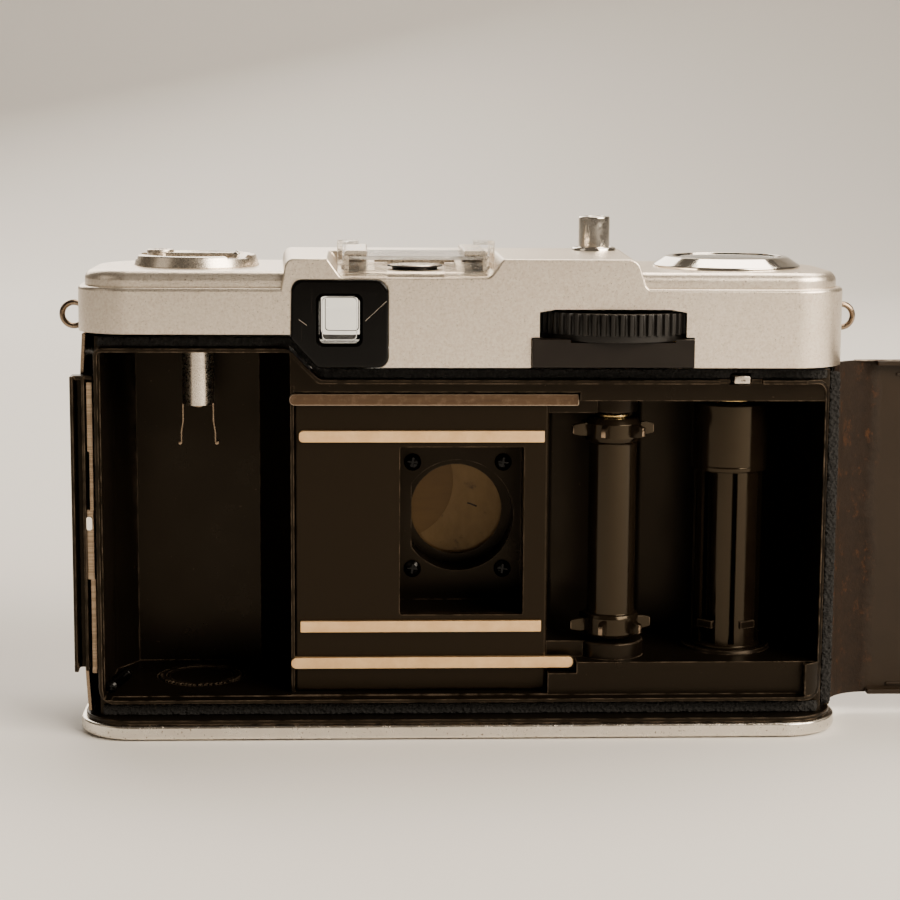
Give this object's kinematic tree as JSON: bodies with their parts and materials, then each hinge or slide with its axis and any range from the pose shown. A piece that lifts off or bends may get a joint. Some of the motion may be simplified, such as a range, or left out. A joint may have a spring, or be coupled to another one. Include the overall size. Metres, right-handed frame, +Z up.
{
  "type": "half frame camera",
  "caption": "Compact half frame film camera seen from behind with its hinged back swung fully open, showing film chambers, gate, sprocket and take-up spool.",
  "frame": {"origin": "on the face the camera stands on, under the lens axis, in the film plane", "axes": "+Z up; +Y forward, the way the lens points; +X to the right as seen from behind, towards the hinge of the back"},
  "size_m": [0.2135, 0.0458, 0.0719],
  "materials": {
    "satin_silver": "satin, warm",
    "bright_chrome": "polished",
    "steel": "drawn, slightly dull",
    "brass": "satin",
    "blade_bronze": "dulled",
    "black_paint": "semi-gloss, worn",
    "black_gloss": "gloss",
    "black_plastic": "matt",
    "leatherette": "fine grain",
    "foam": "matt",
    "glass": "clear",
    "clear_plastic": "clear, slightly scratched",
    "cell": "gloss",
    "dial": "matt"
  },
  "bodies": {
    "camera": {"body_casting": "black_paint", "film_gate": "black_paint", "gate_screw_upper_left": "black_gloss", "gate_screw_lower_left": "black_gloss", "gate_screw_upper_right": "black_gloss", "gate_screw_lower_right": "black_gloss", "shutter_plate": "black_plastic", "shutter_housing": "black_plastic", "lens_barrel": "black_plastic", "lens_rear_element": "glass", "lens_front_element": "glass", "selenium_cell": "cell", "cell_window": "glass", "lens_bezel": "satin_silver", "front_shell": "black_paint", "front_leatherette": "leatherette", "top_cover": "satin_silver", "viewfinder_bezel": "black_gloss", "eyepiece_glass": "glass", "finder_front_glass": "glass", "hot_shoe": "satin_silver", "shoe_contact": "brass", "strap_lug_left": "bright_chrome", "strap_lug_right": "bright_chrome", "wheel_guard": "black_plastic", "counter_ring": "bright_chrome", "counter_glass": "glass", "button_collar": "bright_chrome", "baseplate": "bright_chrome", "tripod_bush": "steel", "light_seal_top": "foam", "light_seal_bottom": "foam", "light_seal_hinge": "foam", "hinge_pin": "brass", "latch_plate": "satin_silver", "knurled_stud": "steel"},
    "winder": {"thumb_wheel": "black_plastic", "drive_gear": "brass", "sprocket": "black_gloss"},
    "spool": {"take_up_spool": "black_gloss", "spool_gear": "brass"},
    "counter": {"counter_dial": "dial"},
    "release": {"shutter_button": "bright_chrome"},
    "rewind_shaft": {"rewind_sleeve": "steel"},
    "rewind_knob_set": {"rewind_knob": "satin_silver", "rewind_fork": "steel"},
    "rewind_handle": {"rewind_crank": "satin_silver"},
    "door": {"back_door": "black_paint", "door_leatherette": "leatherette", "pressure_spring": "steel"},
    "plate": {"pressure_plate": "black_gloss"},
    "latch": {"latch_bar": "black_paint", "latch_strip": "steel"},
    "focus": {"focus_ring": "black_plastic"},
    "aperture": {"aperture_ring": "satin_silver"},
    "shoe_guard": {"shoe_cover": "clear_plastic"},
    "rewind_button": {"rewind_release_button": "steel"},
    "blade_left": {"shutter_blade_left": "blade_bronze"},
    "blade_right": {"shutter_blade_right": "blade_bronze"},
    "reset": {"counter_reset_pin": "steel"}
  },
  "joints": [
    {"name": "back_door_swing", "type": "hinge", "parent": "camera", "child": "door", "pos_m": [0.0528, 0.0025, 0.0273], "axis": [0, 0, -1], "range_deg": [0, 180]},
    {"name": "plate_float", "type": "slide", "parent": "door", "child": "plate", "axis": [0, 1, 0], "range_m": [0, 0.001], "stiffness_N_per_m": 400, "springref_m": -0.001},
    {"name": "latch_slide", "type": "slide", "parent": "camera", "child": "latch", "axis": [0, 0, -1], "range_m": [0, 0.002], "stiffness_N_per_m": 200, "springref_m": -0.002},
    {"name": "wind_turn", "type": "hinge", "parent": "camera", "child": "winder", "pos_m": [0.0216, 0.0046, 0.0581], "axis": [0, 0, 1], "continuous": true},
    {"name": "spool_turn", "type": "hinge", "parent": "camera", "child": "spool", "pos_m": [0.039, 0.0092, 0.0543], "axis": [0, 0, 1], "continuous": true},
    {"name": "counter_turn", "type": "hinge", "parent": "camera", "child": "counter", "pos_m": [0.0381, 0.01, 0.0625], "axis": [0, 0, 1], "continuous": true},
    {"name": "shutter_press", "type": "slide", "parent": "camera", "child": "release", "axis": [0, 0, -1], "range_m": [0, 0.002], "stiffness_N_per_m": 250, "springref_m": -0.002},
    {"name": "blade_left_swing", "type": "hinge", "parent": "camera", "child": "blade_left", "pos_m": [0, 0.02, 0.0154], "axis": [0, -1, 0], "range_deg": [0, 30], "stiffness_Nm_per_rad": 0.0005, "springref_deg": -11.46},
    {"name": "blade_right_swing", "type": "hinge", "parent": "camera", "child": "blade_right", "pos_m": [0, 0.0204, 0.0154], "axis": [0, 1, 0], "range_deg": [0, 30], "stiffness_Nm_per_rad": 0.0005, "springref_deg": -11.46},
    {"name": "focus_turn", "type": "hinge", "parent": "camera", "child": "focus", "pos_m": [0, 0.0272, 0.0284], "axis": [0, 1, 0], "range_deg": [-60, 60]},
    {"name": "aperture_turn", "type": "hinge", "parent": "camera", "child": "aperture", "pos_m": [0, 0.0301, 0.0284], "axis": [0, 1, 0], "range_deg": [0, 150]},
    {"name": "shoe_cover_slide", "type": "slide", "parent": "camera", "child": "shoe_guard", "axis": [0, -1, 0], "range_m": [0, 0.02]},
    {"name": "rewind_lift", "type": "slide", "parent": "camera", "child": "rewind_shaft", "axis": [0, 0, 1], "range_m": [0, 0.0085]},
    {"name": "rewind_turn", "type": "hinge", "parent": "rewind_shaft", "child": "rewind_knob_set", "pos_m": [-0.0374, 0.0106, 0.066], "axis": [0, 0, 1], "continuous": true},
    {"name": "crank_fold", "type": "hinge", "parent": "rewind_knob_set", "child": "rewind_handle", "pos_m": [-0.0318, 0.0106, 0.06665], "axis": [0, 1, 0], "range_deg": [0, 150]},
    {"name": "rewind_button_press", "type": "slide", "parent": "camera", "child": "rewind_button", "axis": [0, 0, 1], "range_m": [0, 0.0007], "stiffness_N_per_m": 250},
    {"name": "reset_press", "type": "slide", "parent": "camera", "child": "reset", "axis": [0, 1, 0], "range_m": [0, 0.0015], "stiffness_N_per_m": 100, "springref_m": -0.001}
  ],
  "couplings": [
    {"joint": "spool_turn", "follows": "wind_turn", "ratio": -0.66667},
    {"joint": "counter_turn", "follows": "wind_turn", "ratio": 0.020833},
    {"joint": "blade_right_swing", "follows": "blade_left_swing", "ratio": 1}
  ]
}
